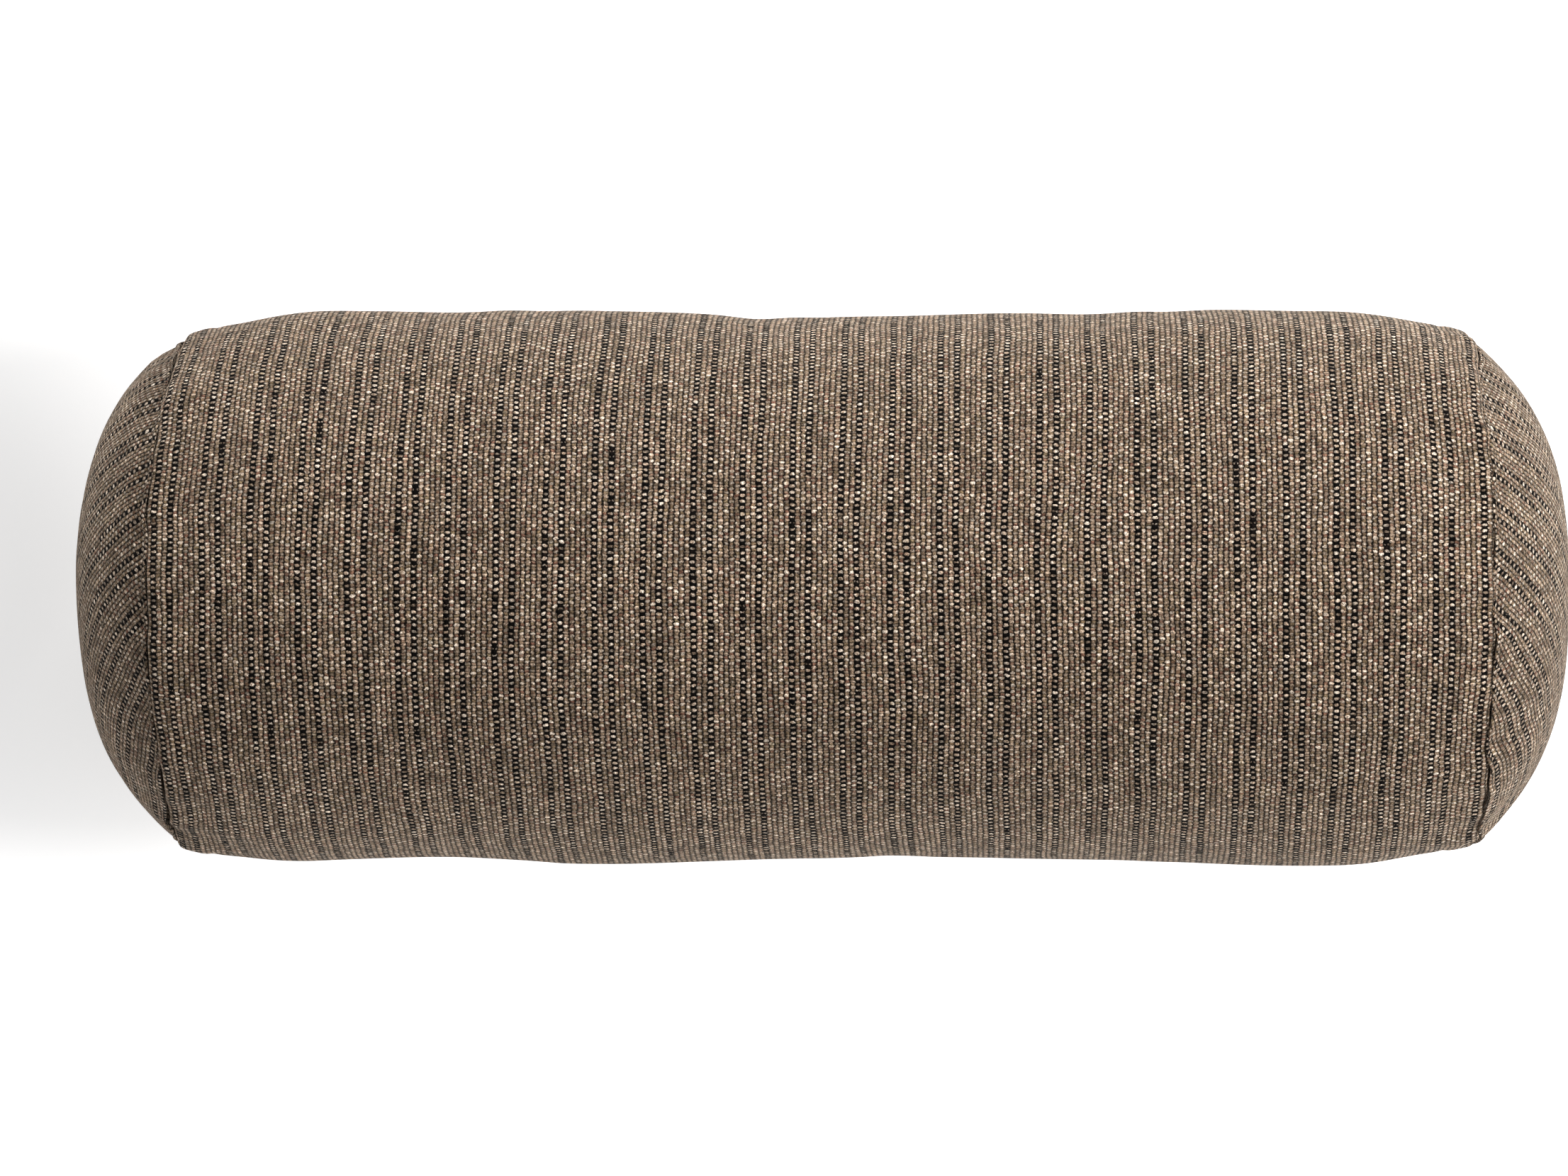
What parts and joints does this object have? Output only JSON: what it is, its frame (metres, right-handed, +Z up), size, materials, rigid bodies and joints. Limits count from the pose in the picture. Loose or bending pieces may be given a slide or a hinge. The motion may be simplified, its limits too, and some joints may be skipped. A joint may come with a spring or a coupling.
{
  "type": "bolster pillow",
  "caption": "Round bolster pillow in a tweed-woven cover with domed end panels, a hidden zipper along its lower back and a fibre-filled insert.",
  "frame": {"origin": "centre of the base: on the surface that it rests on, below the middle of the bolster's length", "axes": "+Z up, +X along the bolster's length towards the end where the zipper closes, +Y towards the side with the zipper"},
  "size_m": [0.554, 0.202, 0.1964],
  "materials": {
    "cover_fabric": "heavy plain-weave tweed in taupe, tan and near-black heathered yarns, matte",
    "sewing_thread": "spun polyester thread, taupe",
    "zip_tape": "woven polyester tape, taupe",
    "zip_coil": "nylon coil, taupe, slight sheen",
    "zip_metal": "nickel-plated zinc, satin",
    "ticking": "plain off-white cotton ticking",
    "insert_thread": "spun polyester thread, white",
    "fibre_fill": "blown polyester fibre, white"
  },
  "bodies": {
    "pillow": {"cover_closing_stitches": "sewing_thread", "cover_end_panel_left": "cover_fabric", "cover_end_panel_right": "cover_fabric", "cover_end_seam_stitches_left": "sewing_thread", "cover_end_seam_stitches_right": "sewing_thread", "cover_wrap_panel": "cover_fabric", "fibre_fill": "fibre_fill", "insert_closing_stitches": "insert_thread", "insert_end_panel_left": "ticking", "insert_end_panel_right": "ticking", "insert_end_seam_stitches_left": "insert_thread", "insert_end_seam_stitches_right": "insert_thread", "insert_wrap_panel": "ticking", "zipper_bottom_stop": "zip_metal", "zipper_coil_lower": "zip_coil", "zipper_coil_upper": "zip_coil", "zipper_tape_lower": "zip_tape", "zipper_tape_upper": "zip_tape", "zipper_top_stops": "zip_metal", "zipper_topstitch_lower": "sewing_thread", "zipper_topstitch_upper": "sewing_thread"},
    "zipper_slider": {"zipper_slider_body": "zip_metal"},
    "pull_tab": {"zipper_pull_tab": "zip_metal"}
  },
  "joints": [
    {"name": "zipper_slide", "type": "slide", "parent": "pillow", "child": "zipper_slider", "axis": [-1, 0, 0], "range_m": [0, 0.341], "deforming": ["zipper_coil_upper", "zipper_coil_lower"]},
    {"name": "pull_tab_hinge", "type": "hinge", "parent": "zipper_slider", "child": "pull_tab", "pos_m": [0.171, 0.07234, 0.02312], "axis": [0, -0.7071, -0.7071], "range_deg": [-90, 90]}
  ]
}
